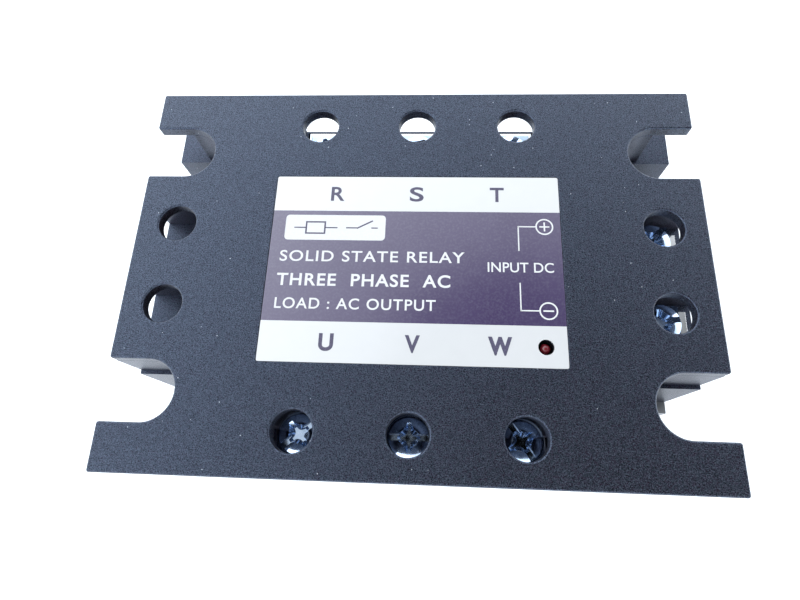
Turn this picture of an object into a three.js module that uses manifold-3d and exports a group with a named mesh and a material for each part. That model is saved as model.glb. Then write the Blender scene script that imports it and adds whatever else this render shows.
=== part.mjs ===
// Three-phase solid state relay: a metal base plate, a plastic housing in three parts, six power
// terminals and two control terminals with captive screws, and the switching parts inside.
// Units are millimetres. +X points to the control terminals, +Y to the line side (R S T), +Z up.
// The origin is the centre of the underside.
import * as THREE from 'three';
import { mergeVertices } from 'three/addons/utils/BufferGeometryUtils.js';
import Module from 'manifold-3d';

const wasm = await Module();
wasm.setup();

// ---- Driving dimensions -------------------------------------------------------------------

// Overall size
const LENGTH = 105;
const WIDTH = 74.5;
const HEIGHT = 33;
const HALF_LENGTH = LENGTH / 2;
const HALF_WIDTH = WIDTH / 2;

// Levels
const BASE_TOP = 6;
const SEAM_Z = 22;
const TOP_THICKNESS = 2.25;
const CEILING_Z = HEIGHT - TOP_THICKNESS;

// Housing walls
const COVER_OVERHANG = 0.85;
const WALL_HALF_WIDTH = HALF_WIDTH - COVER_OVERHANG;
const CAVITY_HALF_LENGTH = 37.8;
const CAVITY_HALF_WIDTH = 22.9;
const FRAME_CORNER_X = 46;

// Mounting notches at the four corners
const NOTCH_Y = 23.6;
const NOTCH_ARC_X = 45.4;
const COVER_NOTCH_RADIUS = 5.4;
const HOUSING_NOTCH_RADIUS = 4.65;
const BASE_SLOT_RADIUS = 2.25;
const BASE_SLOT_ARC_X = 46;

// Power terminals stand in two rows of three, control terminals on the +X side
const PHASE_PITCH = 19.2;
const PHASE_Y = 29.6;
const CONTROL_X = 44.85;
const CONTROL_Y = 8;
const DRIVER_HOLE_RADIUS = 3.55;
const WELL_RADIUS = 4.4;
const WELL_STEP = 1.2;
const BAY_HALF_WIDTH = 5.8;
const POCKET_HALF_WIDTH = 5.2;

// Terminal plates
const PLATE_THICKNESS = 1;
const PLATE_WIDTH = 10.2;
const PLATE_SEAT_Z = SEAM_Z - 1.2;
const PLATE_OUTER_Y = 35.9;
const PLATE_LIP_Y = 36;
const LEG_INNER_Y = 21.4;
const FOOT_INNER_Y = 14;
const CONTROL_PLATE_THICKNESS = 0.8;
const CONTROL_PLATE_WIDTH = 7;
const CONTROL_PLATE_OUTER_X = 51.2;
const CONTROL_PLATE_INNER_X = 33;
const PLATE_HOLE_RADIUS = 2.3;

// Screws, clamps and nuts
const THREAD_PITCH = 0.7;
const HEAD_RADIUS = 3.5;
const HEAD_HEIGHT = 2.1;
const HEAD_DOME_RADIUS = 6;
const SHANK_RADIUS = 1.8;
const POWER_SHANK = 11;
const CONTROL_SHANK = 10;
const SLOT_WIDTH = 1;
const SLOT_DEPTH = 0.8;
const CROSS_LENGTH = 4.2;
const CROSS_DEPTH = 1.5;
const POWER_CLAMP = { roundRadius: 4.1, reach: 4.3 };
const CONTROL_CLAMP = { roundRadius: 3.5, reach: 3.6 };
const CLAMP_THICKNESS = 0.7;
const CLAMP_HOLE_RADIUS = 2.1;
const NUT_ACROSS_FLATS = 7;
const NUT_HEIGHT = 3.2;
const SHAFT_WELL_RADIUS = 2.6;
const SHAFT_WELL_FLOOR = 10.5;
const FIT_GAP = 0.3;
const TOUCH_GAP = 0.05;

// Label and lamp on the cover
const LABEL_LENGTH = 53;
const LABEL_WIDTH = 36.2;
const LABEL_THICKNESS = 0.2;
const LABEL_RECESS = 0.25;
const LABEL_MARGIN = 0.1;
const LAMP_X = 22.9;
const LAMP_Y = -14.5;
const LAMP_RADIUS = 1.15;
const LAMP_HOLE_RADIUS = 1.35;
const LAMP_TOP = 32.4;

// Switching parts inside
const BOARD_HALF_LENGTH = 34.5;
const BOARD_HALF_WIDTH = 20;
const BOARD_THICKNESS = 1.6;
const BOARD_Z = SEAM_Z + CONTROL_PLATE_THICKNESS;
const BOARD_TOP = BOARD_Z + BOARD_THICKNESS;
const SUBSTRATE_WIDTH = 15;
const SUBSTRATE_HALF_LENGTH = 19;
const SUBSTRATE_THICKNESS = 1;
const MODULE_SIDE = 14;
const MODULE_HEIGHT = 5;
const MODULE_Z = BASE_TOP + SUBSTRATE_THICKNESS;
const MODULE_TOP = MODULE_Z + MODULE_HEIGHT;
const LEAD_HALF_THICKNESS = 0.5;
const LEAD_HALF_WIDTH = 2;
const OPTOCOUPLER_Y = 11;
const CAPACITOR_Y = -5;
const POTTING_TOP = 15;
const POTTING_CELL_TOP = MODULE_TOP + FIT_GAP;

// Screws through the base plate
const BASE_SCREW_X = 33;
const BASE_SCREW_Y = 31;
const BASE_SCREW_SHANK_RADIUS = 1.3;
const BASE_SCREW_HEAD_RADIUS = 2.8;
const BASE_SCREW_HEAD_HEIGHT = 1.6;
const BASE_SCREW_SUNK = 0.3;
const BASE_SCREW_TOP = 13;

// Facets round a full turn
const FINE = 40;
const MEDIUM = 16;

// Phases from -X to +X: load terminals in front (-Y), line terminals at the back (+Y).
// The slots are the angles of the screws' slots from +X, in degrees.
const PHASES = [
  { load: 'u', line: 'r', column: -1, loadSlot: 38, lineSlot: 20 },
  { load: 'v', line: 's', column: 0, loadSlot: 0, lineSlot: -35 },
  { load: 'w', line: 't', column: 1, loadSlot: -57, lineSlot: 65 },
];
const CONTROLS = [
  { name: 'plus', side: 1, slot: 50 },
  { name: 'minus', side: -1, slot: 12 },
];

// How many turns the screws stand above their tight place
const LOAD_RAISED = 4.75;
const LINE_RAISED = 2;
const CONTROL_RAISED = 3.5;

// ---- Materials ----------------------------------------------------------------------------

function material(color, roughness, metalness = 0) {
  return new THREE.MeshStandardMaterial({ color, roughness, metalness });
}

const MATERIALS = {
  aluminium: material(0xb9bcc0, 0.45, 0.9),
  darkPlastic: material(0x3b3f46, 0.6),
  labelFilm: material(0xe6e6ea, 0.4),
  redLens: material(0x5a1014, 0.2),
  boardLaminate: material(0x1f6b3a, 0.55),
  ceramic: material(0xe9e6df, 0.6),
  epoxy: material(0x1b1b1d, 0.5),
  potting: material(0x24262a, 0.7),
  copper: material(0xc9cbcd, 0.3, 1),
  zinc: material(0xc7cbd1, 0.28, 1),
  capacitor: material(0xc8a23a, 0.5),
};

// ---- Solid helpers ------------------------------------------------------------------------

// A closed three.js geometry as a solid that can be joined and cut.
function solidOf(geometry) {
  const bare = geometry.clone();
  bare.deleteAttribute('normal');
  bare.deleteAttribute('uv');
  const merged = mergeVertices(bare, 1e-5);
  return new wasm.Manifold(new wasm.Mesh({
    numProp: 3,
    vertProperties: new Float32Array(merged.attributes.position.array),
    triVerts: new Uint32Array(merged.index.array),
  }));
}

function geometryOf(solid) {
  const mesh = solid.getMesh();
  const geometry = new THREE.BufferGeometry();
  geometry.setAttribute('position', new THREE.BufferAttribute(new Float32Array(mesh.vertProperties), 3));
  geometry.setIndex(new THREE.BufferAttribute(new Uint32Array(mesh.triVerts), 1));
  geometry.computeVertexNormals();
  return geometry;
}

const join = (first, ...others) => others.reduce((whole, part) => whole.add(part), first);
const cut = (first, ...tools) => tools.reduce((whole, tool) => whole.subtract(tool), first);

// A box between two corners; the corners may be given in either order.
function block([x0, y0, z0], [x1, y1, z1]) {
  const box = new THREE.BoxGeometry(Math.abs(x1 - x0), Math.abs(y1 - y0), Math.abs(z1 - z0));
  return solidOf(box.translate((x0 + x1) / 2, (y0 + y1) / 2, (z0 + z1) / 2));
}

// An upright round bar.
function rod(x, y, z0, z1, radius, segments = MEDIUM) {
  const bar = new THREE.CylinderGeometry(radius, radius, z1 - z0, segments);
  return solidOf(bar.rotateX(Math.PI / 2).translate(x, y, (z0 + z1) / 2));
}

// A solid turned about the upright axis through x, y, from [radius, z] points.
function turned(profile, x = 0, y = 0) {
  const points = profile.map(([radius, z]) => new THREE.Vector2(radius, z));
  return solidOf(new THREE.LatheGeometry(points, MEDIUM).rotateX(Math.PI / 2).translate(x, y, 0));
}

function prism(shape, z0, z1) {
  const extrusion = new THREE.ExtrudeGeometry(shape, {
    depth: z1 - z0,
    bevelEnabled: false,
    curveSegments: MEDIUM / 2,
  });
  return solidOf(extrusion.translate(0, 0, z0));
}

// A U-shaped notch open towards the +X or -X end, with a round inner end.
function notch(sideX, sideY, arcX, radius, z0, z1) {
  const y = sideY * NOTCH_Y;
  return join(
    rod(sideX * arcX, y, z0, z1, radius, FINE),
    block([sideX * arcX, y - radius, z0], [sideX * (HALF_LENGTH + 1), y + radius, z1]),
  );
}

const SIDES = [-1, 1];
const CORNERS = SIDES.flatMap((x) => SIDES.map((y) => [x, y]));
const notches = (arcX, radius, z0, z1) => CORNERS.map(([x, y]) => notch(x, y, arcX, radius, z0, z1));

const phaseX = (phase) => phase.column * PHASE_PITCH;
const POWER_PLACES = PHASES.flatMap((phase) => SIDES.map((side) => [phaseX(phase), side]));
const SIDE_PLACES = SIDES.flatMap((end) => SIDES.map((side) => [end, side]));

// ---- Base and housing ---------------------------------------------------------------------

function basePlate() {
  const plate = block([-HALF_LENGTH, -WALL_HALF_WIDTH, 0], [HALF_LENGTH, WALL_HALF_WIDTH, BASE_TOP]);
  const sinkTop = BASE_SCREW_SUNK + BASE_SCREW_HEAD_HEIGHT + FIT_GAP;
  const holeRadius = BASE_SCREW_SHANK_RADIUS + FIT_GAP;
  const mouthRadius = BASE_SCREW_HEAD_RADIUS + FIT_GAP;
  const countersink = [
    [0, -1],
    [mouthRadius, -1],
    [mouthRadius, BASE_SCREW_SUNK],
    [holeRadius, sinkTop],
    [holeRadius, BASE_TOP + 1],
    [0, BASE_TOP + 1],
  ];
  const holes = CORNERS.map(([x, y]) => turned(countersink, x * BASE_SCREW_X, y * BASE_SCREW_Y));
  return cut(plate, ...notches(BASE_SLOT_ARC_X, BASE_SLOT_RADIUS, -1, BASE_TOP + 1), ...holes);
}

// The well under a terminal: room for the screw's shank, with a hexagon seat for the nut on top.
function nutWell(x, y, seatZ) {
  const hexagonRadius = (NUT_ACROSS_FLATS + FIT_GAP) / Math.sqrt(3);
  return join(
    rod(x, y, SHAFT_WELL_FLOOR, seatZ + 1, SHAFT_WELL_RADIUS),
    rod(x, y, seatZ - NUT_HEIGHT - FIT_GAP, seatZ + 1, hexagonRadius, 6),
  );
}

function lowerHousing() {
  const body = block([-HALF_LENGTH, -WALL_HALF_WIDTH, BASE_TOP], [HALF_LENGTH, WALL_HALF_WIDTH, SEAM_Z]);
  const cavity = block(
    [-CAVITY_HALF_LENGTH, -CAVITY_HALF_WIDTH, BASE_TOP - 1],
    [CAVITY_HALF_LENGTH, CAVITY_HALF_WIDTH, SEAM_Z + 1],
  );
  const seats = POWER_PLACES.map(([x, side]) => block(
    [x - PLATE_WIDTH / 2 - FIT_GAP, side * (CAVITY_HALF_WIDTH - 1), PLATE_SEAT_Z],
    [x + PLATE_WIDTH / 2 + FIT_GAP, side * PLATE_LIP_Y, SEAM_Z + 1],
  ));
  const lips = POWER_PLACES.map(([x, side]) => block(
    [x - BAY_HALF_WIDTH, side * (PLATE_LIP_Y - 1), PLATE_SEAT_Z + PLATE_THICKNESS],
    [x + BAY_HALF_WIDTH, side * HALF_WIDTH, SEAM_Z + 1],
  ));
  const powerWells = POWER_PLACES.map(([x, side]) => nutWell(x, side * PHASE_Y, PLATE_SEAT_Z));
  const controlWells = SIDES.map((side) => nutWell(CONTROL_X, side * CONTROL_Y, SEAM_Z));
  const screwHoles = CORNERS.map(([x, y]) => rod(
    x * BASE_SCREW_X,
    y * BASE_SCREW_Y,
    BASE_TOP - 1,
    BASE_SCREW_TOP + FIT_GAP,
    BASE_SCREW_SHANK_RADIUS + FIT_GAP,
  ));
  return cut(
    body,
    cavity,
    ...notches(NOTCH_ARC_X, HOUSING_NOTCH_RADIUS, BASE_TOP - 1, SEAM_Z + 1),
    ...seats,
    ...lips,
    ...powerWells,
    ...controlWells,
    ...screwHoles,
  );
}

// The room for a terminal: a round well at the screw, and outside it a wider bay for the wire,
// open in the direction [outX, outY], which is a unit step along X or Y.
function terminalBay(x, y, [outX, outY], halfWidth) {
  const reach = HALF_WIDTH;
  const well = rod(x, y, SEAM_Z - 1, HEIGHT, WELL_RADIUS, FINE);
  const mouth = block(
    [x - outX * WELL_STEP - outY * halfWidth, y - outY * WELL_STEP - outX * halfWidth, SEAM_Z - 1],
    [x + outX * reach + outY * halfWidth, y + outY * reach + outX * halfWidth, HEIGHT],
  );
  return join(well, mouth);
}

// The walls between the lower housing and the cover: a band across the relay's middle with a
// row of terminal bays along each long side, a pocket for each side terminal, and open corners.
function terminalFrame() {
  const body = block([-HALF_LENGTH, -WALL_HALF_WIDTH, SEAM_Z], [HALF_LENGTH, WALL_HALF_WIDTH, CEILING_Z]);
  const corners = CORNERS.map(([x, y]) => block(
    [x * FRAME_CORNER_X, y * NOTCH_Y, SEAM_Z - 1],
    [x * (HALF_LENGTH + 1), y * (HALF_WIDTH + 1), HEIGHT],
  ));
  const cavity = block(
    [-CAVITY_HALF_LENGTH, -CAVITY_HALF_WIDTH, SEAM_Z - 1],
    [CAVITY_HALF_LENGTH, CAVITY_HALF_WIDTH, HEIGHT],
  );
  const bays = POWER_PLACES.map(([x, side]) => (
    terminalBay(x, side * PHASE_Y, [0, side], BAY_HALF_WIDTH)
  ));
  const pockets = SIDE_PLACES.map(([end, side]) => (
    terminalBay(end * CONTROL_X, side * CONTROL_Y, [end, 0], POCKET_HALF_WIDTH)
  ));
  const plateSlots = SIDES.map((side) => block(
    [CAVITY_HALF_LENGTH - 1, side * CONTROL_Y - CONTROL_PLATE_WIDTH / 2 - FIT_GAP, SEAM_Z - 1],
    [CONTROL_X, side * CONTROL_Y + CONTROL_PLATE_WIDTH / 2 + FIT_GAP, BOARD_Z + FIT_GAP],
  ));
  const frame = cut(
    body,
    cavity,
    ...corners,
    ...notches(NOTCH_ARC_X, COVER_NOTCH_RADIUS, SEAM_Z - 1, HEIGHT),
    ...bays,
    ...pockets,
    ...plateSlots,
  );
  return join(frame, ...locatingTabs());
}

// Tabs on the frame's end walls that drop inside the lower housing and line the two up.
function locatingTabs() {
  const outerX = CAVITY_HALF_LENGTH - FIT_GAP;
  const depth = 2.5;
  const thickness = 1.2;
  const nearY = 13.8;
  const farY = 19.5;
  return CORNERS.map(([x, y]) => join(
    block([x * outerX, y * nearY, SEAM_Z - depth], [x * (outerX - thickness), y * farY, SEAM_Z + depth]),
    block([x * (outerX - thickness), y * nearY, SEAM_Z + 1], [x * (outerX + 1), y * farY, SEAM_Z + depth]),
  ));
}

// The flat cover over the whole relay, with a hole over each screw and a seat for the label.
function upperCover() {
  const plate = block([-HALF_LENGTH, -HALF_WIDTH, CEILING_Z], [HALF_LENGTH, HALF_WIDTH, HEIGHT]);
  const holes = [
    ...POWER_PLACES.map(([x, side]) => [x, side * PHASE_Y]),
    ...SIDE_PLACES.map(([end, side]) => [end * CONTROL_X, side * CONTROL_Y]),
  ].map(([x, y]) => rod(x, y, CEILING_Z - 1, HEIGHT + 1, DRIVER_HOLE_RADIUS, FINE));
  const lampHole = rod(LAMP_X, LAMP_Y, CEILING_Z - 1, HEIGHT + 1, LAMP_HOLE_RADIUS);
  const labelSeat = block(
    [-LABEL_LENGTH / 2 - LABEL_MARGIN, -LABEL_WIDTH / 2 - LABEL_MARGIN, HEIGHT - LABEL_RECESS],
    [LABEL_LENGTH / 2 + LABEL_MARGIN, LABEL_WIDTH / 2 + LABEL_MARGIN, HEIGHT + 1],
  );
  return cut(
    plate,
    ...notches(NOTCH_ARC_X, COVER_NOTCH_RADIUS, CEILING_Z - 1, HEIGHT + 1),
    ...holes,
    lampHole,
    labelSeat,
  );
}

function label() {
  const z = HEIGHT - LABEL_RECESS;
  const film = block(
    [-LABEL_LENGTH / 2, -LABEL_WIDTH / 2, z],
    [LABEL_LENGTH / 2, LABEL_WIDTH / 2, z + LABEL_THICKNESS],
  );
  return cut(film, rod(LAMP_X, LAMP_Y, z - 1, HEIGHT + 1, LAMP_HOLE_RADIUS));
}

function baseScrew() {
  const tipChamfer = 0.5;
  return turned([
    [0, BASE_SCREW_SUNK],
    [BASE_SCREW_HEAD_RADIUS, BASE_SCREW_SUNK],
    [BASE_SCREW_SHANK_RADIUS, BASE_SCREW_SUNK + BASE_SCREW_HEAD_HEIGHT],
    [BASE_SCREW_SHANK_RADIUS, BASE_SCREW_TOP - tipChamfer],
    [BASE_SCREW_SHANK_RADIUS - tipChamfer, BASE_SCREW_TOP],
    [0, BASE_SCREW_TOP],
  ]);
}

// ---- Terminals ----------------------------------------------------------------------------

// A strap from the terminal seat over the housing wall, down into the cavity and along the
// substrate. It is drawn for the +Y side and turned half round for the -Y side.
function busbar() {
  const plateTop = PLATE_SEAT_Z + PLATE_THICKNESS;
  const footTop = MODULE_Z + PLATE_THICKNESS;
  const legOuterY = LEG_INNER_Y + PLATE_THICKNESS;
  const halfWidth = PLATE_WIDTH / 2;
  const seat = block([-halfWidth, LEG_INNER_Y, PLATE_SEAT_Z], [halfWidth, PLATE_OUTER_Y, plateTop]);
  const leg = block([-halfWidth, LEG_INNER_Y, MODULE_Z], [halfWidth, legOuterY, plateTop]);
  const foot = block([-halfWidth, FOOT_INNER_Y, MODULE_Z], [halfWidth, legOuterY, footTop]);
  const screwHole = rod(0, PHASE_Y, PLATE_SEAT_Z - 1, SEAM_Z + 1, PLATE_HOLE_RADIUS);
  return cut(join(seat, leg, foot), screwHole);
}

function controlPlate() {
  const halfWidth = CONTROL_PLATE_WIDTH / 2;
  const strap = block(
    [CONTROL_PLATE_INNER_X, -halfWidth, SEAM_Z],
    [CONTROL_PLATE_OUTER_X, halfWidth, SEAM_Z + CONTROL_PLATE_THICKNESS],
  );
  return cut(strap, rod(CONTROL_X, 0, SEAM_Z - 1, SEAM_Z + 2, PLATE_HOLE_RADIUS));
}

// A washer that the screw carries up and down, kept from turning by its well: round on the inner
// side, and square on the side that the wire comes from. It is drawn for a wire from +Y.
function clamp({ roundRadius, reach }) {
  const disc = rod(0, 0, 0, CLAMP_THICKNESS, roundRadius, FINE);
  const tongue = block([-roundRadius, 0, 0], [roundRadius, reach, CLAMP_THICKNESS]);
  return cut(join(disc, tongue), rod(0, 0, -1, CLAMP_THICKNESS + 1, CLAMP_HOLE_RADIUS));
}

function nut() {
  const hexagon = rod(0, 0, 0, NUT_HEIGHT, NUT_ACROSS_FLATS / Math.sqrt(3), 6);
  return cut(hexagon, rod(0, 0, -1, NUT_HEIGHT + 1, SHANK_RADIUS + FIT_GAP));
}

// A domed screw with a slot and a cross recess; z = 0 is the head's underside.
function terminalScrew(shankLength) {
  const tipChamfer = 0.5;
  const domeRadii = [HEAD_RADIUS, 2.4, 1.2];
  const domeHeight = (radius) => (
    HEAD_HEIGHT - HEAD_DOME_RADIUS + Math.sqrt(HEAD_DOME_RADIUS ** 2 - radius ** 2)
  );
  const body = turned([
    [0, -shankLength],
    [SHANK_RADIUS - tipChamfer, -shankLength],
    [SHANK_RADIUS, -shankLength + tipChamfer],
    [SHANK_RADIUS, 0],
    [HEAD_RADIUS, 0],
    ...domeRadii.map((radius) => [radius, domeHeight(radius)]),
    [0, HEAD_HEIGHT],
  ]);
  const recess = (halfX, halfY, depth) => block(
    [-halfX, -halfY, HEAD_HEIGHT - depth],
    [halfX, halfY, HEAD_HEIGHT + 1],
  );
  return cut(
    body,
    recess(HEAD_RADIUS + 1, SLOT_WIDTH / 2, SLOT_DEPTH),
    recess(CROSS_LENGTH / 2, SLOT_WIDTH / 2, CROSS_DEPTH),
    recess(SLOT_WIDTH / 2, CROSS_LENGTH / 2, CROSS_DEPTH),
  );
}

// ---- Switching parts ----------------------------------------------------------------------

function substrate() {
  return block(
    [-SUBSTRATE_WIDTH / 2, -SUBSTRATE_HALF_LENGTH, BASE_TOP],
    [SUBSTRATE_WIDTH / 2, SUBSTRATE_HALF_LENGTH, MODULE_Z],
  );
}

function switchModule() {
  const half = MODULE_SIDE / 2;
  return block([-half, -half, MODULE_Z], [half, half, MODULE_TOP]);
}

function gateLead() {
  return block(
    [-LEAD_HALF_THICKNESS, -LEAD_HALF_WIDTH, MODULE_TOP],
    [LEAD_HALF_THICKNESS, LEAD_HALF_WIDTH, BOARD_Z],
  );
}

// Cast resin over the modules, with a cell round each and slots for the straps and gate leads.
function pottingCompound() {
  const resin = block(
    [-CAVITY_HALF_LENGTH + FIT_GAP, -CAVITY_HALF_WIDTH + FIT_GAP, BASE_TOP],
    [CAVITY_HALF_LENGTH - FIT_GAP, CAVITY_HALF_WIDTH - FIT_GAP, POTTING_TOP],
  );
  const cellHalf = SUBSTRATE_WIDTH / 2 + FIT_GAP;
  const strapHalf = PLATE_WIDTH / 2 + FIT_GAP;
  const leadHalf = LEAD_HALF_THICKNESS + FIT_GAP;
  const leadReach = LEAD_HALF_WIDTH + FIT_GAP;
  const room = PHASES.flatMap((phase) => {
    const x = phaseX(phase);
    return [
      block(
        [x - cellHalf, -CAVITY_HALF_WIDTH, BASE_TOP - 1],
        [x + cellHalf, CAVITY_HALF_WIDTH, POTTING_CELL_TOP],
      ),
      block([x - leadHalf, -leadReach, MODULE_Z], [x + leadHalf, leadReach, POTTING_TOP + 1]),
      ...SIDES.map((side) => block(
        [x - strapHalf, side * (LEG_INNER_Y - FIT_GAP), MODULE_Z],
        [x + strapHalf, side * CAVITY_HALF_WIDTH, POTTING_TOP + 1],
      )),
    ];
  });
  return cut(resin, ...room);
}

function controlBoard() {
  return block(
    [-BOARD_HALF_LENGTH, -BOARD_HALF_WIDTH, BOARD_Z],
    [BOARD_HALF_LENGTH, BOARD_HALF_WIDTH, BOARD_TOP],
  );
}

// A six-pin optocoupler standing on the board.
function optocoupler() {
  const halfBody = [3.2, 4.3];
  const bodyLift = 0.5;
  const bodyHeight = 3.4;
  const pinPitch = 2.54;
  const pinHalfWidth = 0.3;
  const pinReach = 3.8;
  const body = block(
    [-halfBody[0], -halfBody[1], BOARD_TOP + bodyLift],
    [halfBody[0], halfBody[1], BOARD_TOP + bodyLift + bodyHeight],
  );
  const pins = [-1, 0, 1].flatMap((row) => SIDES.map((side) => block(
    [side * (halfBody[0] - 0.4), row * pinPitch - pinHalfWidth, BOARD_TOP],
    [side * pinReach, row * pinPitch + pinHalfWidth, BOARD_TOP + bodyLift + 1],
  )));
  return join(body, ...pins);
}

function snubberCapacitor() {
  const halfLength = 5;
  const halfThickness = 2.4;
  const height = 5.6;
  const outline = new THREE.Shape();
  outline.absarc(halfLength - halfThickness, 0, halfThickness, -Math.PI / 2, Math.PI / 2);
  outline.absarc(halfThickness - halfLength, 0, halfThickness, Math.PI / 2, Math.PI * 1.5);
  return prism(outline, BOARD_TOP, BOARD_TOP + height);
}

// A lamp with a domed top, on a stem from the board to the cover.
function indicatorLamp() {
  const domeSteps = 5;
  const dome = Array.from({ length: domeSteps + 1 }, (_, step) => {
    const angle = (step / domeSteps) * Math.PI / 2;
    return [LAMP_RADIUS * Math.cos(angle), LAMP_TOP - LAMP_RADIUS * (1 - Math.sin(angle))];
  });
  dome[domeSteps][0] = 0;
  return turned([[0, BOARD_TOP], [LAMP_RADIUS, BOARD_TOP], ...dome]);
}

// ---- Assembly -----------------------------------------------------------------------------

const relay = new THREE.Group();

// The turn that takes a piece drawn for the +Y side to each side
const TO_BACK = 0;
const TO_FRONT = Math.PI;
const TO_CONTROLS = -Math.PI / 2;

function place(name, solid, finish, { x = 0, y = 0, z = 0, turn = 0 } = {}) {
  const mesh = new THREE.Mesh(geometryOf(solid), finish);
  mesh.name = name;
  mesh.position.set(x, y, z);
  mesh.rotation.z = turn;
  relay.add(mesh);
}

// The nut, clamp and screw of one terminal. seatZ is the level the nut hangs from, and plateTop
// where the clamp lands when the screw is tight. facing turns the clamp's square side to the wire.
function placeFasteners(name, { x, y, facing, seatZ, plateTop, raised, slot, shank, clampShape }) {
  const lift = raised * THREAD_PITCH;
  const clampZ = plateTop + TOUCH_GAP + lift;
  const headZ = clampZ + CLAMP_THICKNESS + TOUCH_GAP;
  place(`${name}_nut`, nut(), MATERIALS.zinc, { x, y, z: seatZ - NUT_HEIGHT - TOUCH_GAP });
  place(`${name}_clamp`, clamp(clampShape), MATERIALS.zinc, { x, y, z: clampZ, turn: facing });
  place(`${name}_screw`, terminalScrew(shank), MATERIALS.zinc, {
    x,
    y,
    z: headZ,
    turn: THREE.MathUtils.degToRad(slot),
  });
}

place('base_plate', basePlate(), MATERIALS.aluminium);
place('lower_housing', lowerHousing(), MATERIALS.darkPlastic);
place('terminal_frame', terminalFrame(), MATERIALS.darkPlastic);
place('upper_cover', upperCover(), MATERIALS.darkPlastic);
place('label', label(), MATERIALS.labelFilm);
place('indicator_lamp', indicatorLamp(), MATERIALS.redLens, { x: LAMP_X, y: LAMP_Y });
place('control_board', controlBoard(), MATERIALS.boardLaminate);
place('potting_compound', pottingCompound(), MATERIALS.potting);

CORNERS.forEach(([sideX, sideY], index) => {
  place(`base_screw_${index + 1}`, baseScrew(), MATERIALS.zinc, {
    x: sideX * BASE_SCREW_X,
    y: sideY * BASE_SCREW_Y,
  });
});

for (const phase of PHASES) {
  const x = phaseX(phase);
  place(`substrate_${phase.line}`, substrate(), MATERIALS.ceramic, { x });
  place(`switch_module_${phase.line}`, switchModule(), MATERIALS.epoxy, { x });
  place(`gate_lead_${phase.line}`, gateLead(), MATERIALS.copper, { x });
  place(`optocoupler_${phase.line}`, optocoupler(), MATERIALS.epoxy, { x, y: OPTOCOUPLER_Y });
  place(`snubber_capacitor_${phase.line}`, snubberCapacitor(), MATERIALS.capacitor, { x, y: CAPACITOR_Y });

  const rows = [
    { name: phase.line, side: 1, raised: LINE_RAISED, slot: phase.lineSlot },
    { name: phase.load, side: -1, raised: LOAD_RAISED, slot: phase.loadSlot },
  ];
  for (const { name, side, raised, slot } of rows) {
    const facing = side > 0 ? TO_BACK : TO_FRONT;
    place(`${name}_busbar`, busbar(), MATERIALS.copper, { x, turn: facing });
    placeFasteners(name, {
      x,
      y: side * PHASE_Y,
      facing,
      seatZ: PLATE_SEAT_Z,
      plateTop: PLATE_SEAT_Z + PLATE_THICKNESS,
      raised,
      slot,
      shank: POWER_SHANK,
      clampShape: POWER_CLAMP,
    });
  }
}

for (const { name, side, slot } of CONTROLS) {
  const y = side * CONTROL_Y;
  place(`${name}_plate`, controlPlate(), MATERIALS.copper, { y });
  placeFasteners(name, {
    x: CONTROL_X,
    y,
    facing: TO_CONTROLS,
    seatZ: SEAM_Z,
    plateTop: SEAM_Z + CONTROL_PLATE_THICKNESS,
    raised: CONTROL_RAISED,
    slot,
    shank: CONTROL_SHANK,
    clampShape: CONTROL_CLAMP,
  });
}

export default relay;
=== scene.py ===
# A three-phase solid state relay on a pale floor, seen from above its load side.
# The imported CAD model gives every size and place; this script gives it its surfaces.
import math

import bmesh
import bpy
from mathutils import Euler, Matrix, Vector
from mathutils.geometry import tessellate_polygon


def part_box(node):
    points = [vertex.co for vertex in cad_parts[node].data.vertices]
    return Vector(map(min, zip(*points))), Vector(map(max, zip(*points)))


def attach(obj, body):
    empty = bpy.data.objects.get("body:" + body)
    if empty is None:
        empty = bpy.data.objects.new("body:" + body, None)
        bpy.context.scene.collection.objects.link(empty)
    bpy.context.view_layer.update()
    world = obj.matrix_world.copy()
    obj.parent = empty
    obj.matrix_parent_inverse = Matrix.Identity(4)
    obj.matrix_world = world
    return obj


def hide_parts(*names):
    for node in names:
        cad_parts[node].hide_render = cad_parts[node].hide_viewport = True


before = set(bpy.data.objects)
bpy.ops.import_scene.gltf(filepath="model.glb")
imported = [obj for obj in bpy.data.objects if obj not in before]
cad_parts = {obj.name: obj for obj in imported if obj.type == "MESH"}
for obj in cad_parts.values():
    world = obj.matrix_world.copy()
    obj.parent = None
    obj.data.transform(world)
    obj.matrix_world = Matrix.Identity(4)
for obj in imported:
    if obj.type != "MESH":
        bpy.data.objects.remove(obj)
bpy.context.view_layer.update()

HOUSING = "housing"
MM = 0.001
POWER = ["r", "s", "t", "u", "v", "w"]
PHASES = ["r", "s", "t"]
CONTROLS = ["plus", "minus"]
TERMINALS = POWER + CONTROLS

# The angle of each screw's slot from +X, in degrees
SLOT_ANGLES = {"r": 20, "s": -35, "t": 65, "u": 38, "v": 0, "w": -57, "plus": 50, "minus": 12}

# Terminal screw, in millimetres
THREAD_PITCH = 0.7
THREAD_DEPTH = 0.38
HEAD_RADIUS = 3.5
HEAD_HEIGHT = 2.1
HEAD_DOME_RADIUS = 6.0
SHANK_RADIUS = 1.8
SLOT_WIDTH = 1.1
SLOT_DEPTH = 1.15
STAR_REACH = 3.1
STAR_DEPTH = 1.8
STAR_WAIST = 0.22
SCREW_EDGE = 0.2
SCREW_EDGE_ANGLE = 40
SCREW_SHARP_ANGLE = 32

# Cover, in millimetres
TOP_RIM = 0.36
LOWER_RIM = 0.1
SEAT_RIM = 0.08
COVER_CORNER_RADIUS = 0.45
SEAT_CORNER_RADIUS = 0.4
DRIVER_HOLE_RADIUS = 3.55
NOTCH_Y = 23.6
NOTCH_ARC_X = 45.4
NOTCH_RADIUS = 5.4
LABEL_RECESS = 0.25
LABEL_MARGIN = 0.1
LAMP_HOLE_RADIUS = 1.35

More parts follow.
